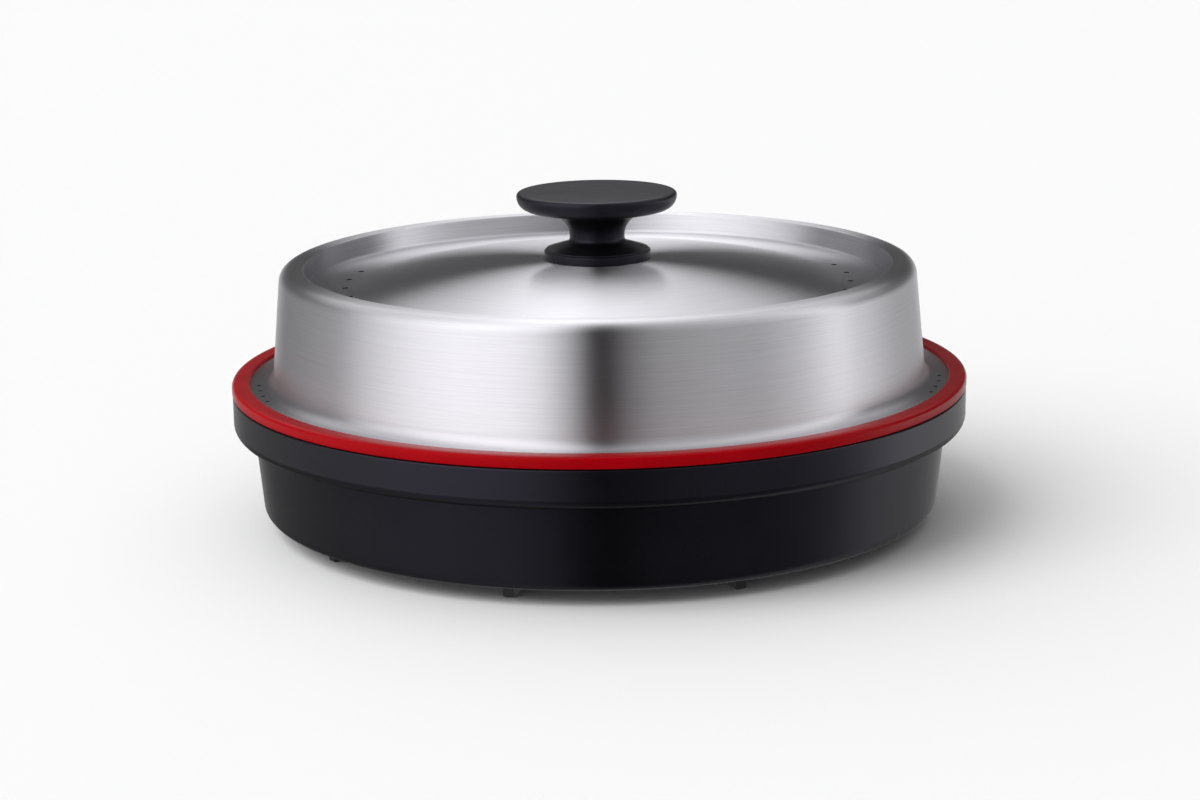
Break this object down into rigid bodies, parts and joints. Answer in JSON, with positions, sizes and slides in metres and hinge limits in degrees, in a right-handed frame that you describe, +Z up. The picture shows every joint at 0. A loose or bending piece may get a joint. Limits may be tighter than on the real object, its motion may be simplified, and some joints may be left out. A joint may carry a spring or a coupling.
{
  "type": "electric griddle",
  "caption": "Round electric griddle with a black footed base, a removable non-stick plate and a tall brushed steel lid with a red seal and a black knob.",
  "frame": {"origin": "on the resting surface, under the centre of the round body", "axes": "+Z up through the knob, +Y towards the back where the control plugs in, +X to the right seen from the front"},
  "size_m": [0.3, 0.3, 0.1337],
  "materials": {
    "shell_plastic": "fine matte moulded, heat-resistant",
    "foot_rubber": "matte moulded",
    "cover_steel": "satin black enamel on steel",
    "fastener_steel": "zinc plated",
    "reflector_steel": "bright aluminised",
    "element_sheath": "dark oxidised sheath",
    "plated_pin": "nickel-plated brass",
    "steatite": "unglazed steatite",
    "inlet_thermoset": "matte thermoset",
    "bracket_steel": "aluminised sheet",
    "spring_steel": "tempered strip",
    "saddle_aluminium": "as machined",
    "tube_steel": "drawn stainless",
    "nonstick_aluminium": "cast, dark non-stick coating",
    "brushed_lid_steel": "circumferentially brushed stainless",
    "red_silicone": "satin silicone",
    "knob_phenolic": "matte phenolic",
    "insert_brass": "knurled insert"
  },
  "bodies": {
    "base": {"base_shell": "shell_plastic", "foot_1": "foot_rubber", "foot_2": "foot_rubber", "foot_3": "foot_rubber", "foot_4": "foot_rubber", "foot_5": "foot_rubber", "foot_6": "foot_rubber", "foot_7": "foot_rubber", "foot_8": "foot_rubber", "foot_9": "foot_rubber", "bottom_cover": "cover_steel", "cover_screws": "fastener_steel", "heat_reflector": "reflector_steel", "reflector_screws": "fastener_steel", "heating_element": "element_sheath", "element_bracket_1": "bracket_steel", "element_bracket_2": "bracket_steel", "element_bracket_3": "bracket_steel", "bracket_rivets": "fastener_steel", "terminal_pin_left": "plated_pin", "terminal_pin_right": "plated_pin", "pin_insulator_left": "steatite", "pin_insulator_right": "steatite", "inlet_housing": "inlet_thermoset", "inlet_screws": "fastener_steel", "saddle_bracket": "bracket_steel", "saddle_rivets": "fastener_steel", "saddle_spring": "spring_steel"},
    "sensor": {"sensor_saddle": "saddle_aluminium", "probe_tube": "tube_steel"},
    "plate": {"griddle_plate": "nonstick_aluminium"},
    "lid": {"lid_shell": "brushed_lid_steel", "lid_gasket": "red_silicone", "knob_collar": "knob_phenolic", "knob": "knob_phenolic", "knob_insert": "insert_brass", "lid_screw": "fastener_steel", "lid_washer": "fastener_steel"}
  },
  "joints": [
    {"name": "sensor_slide", "type": "slide", "parent": "base", "child": "sensor", "axis": [0, 0, 1], "range_m": [-0.0015, 0], "stiffness_N_per_m": 600, "springref_m": 0.003, "deforming": ["saddle_spring"]},
    {"name": "plate_lift", "type": "slide", "parent": "base", "child": "plate", "axis": [0, 0, 1], "range_m": [0, 0.08]},
    {"name": "lid_lift", "type": "slide", "parent": "plate", "child": "lid", "axis": [0, 0, 1], "range_m": [0, 0.15]}
  ]
}
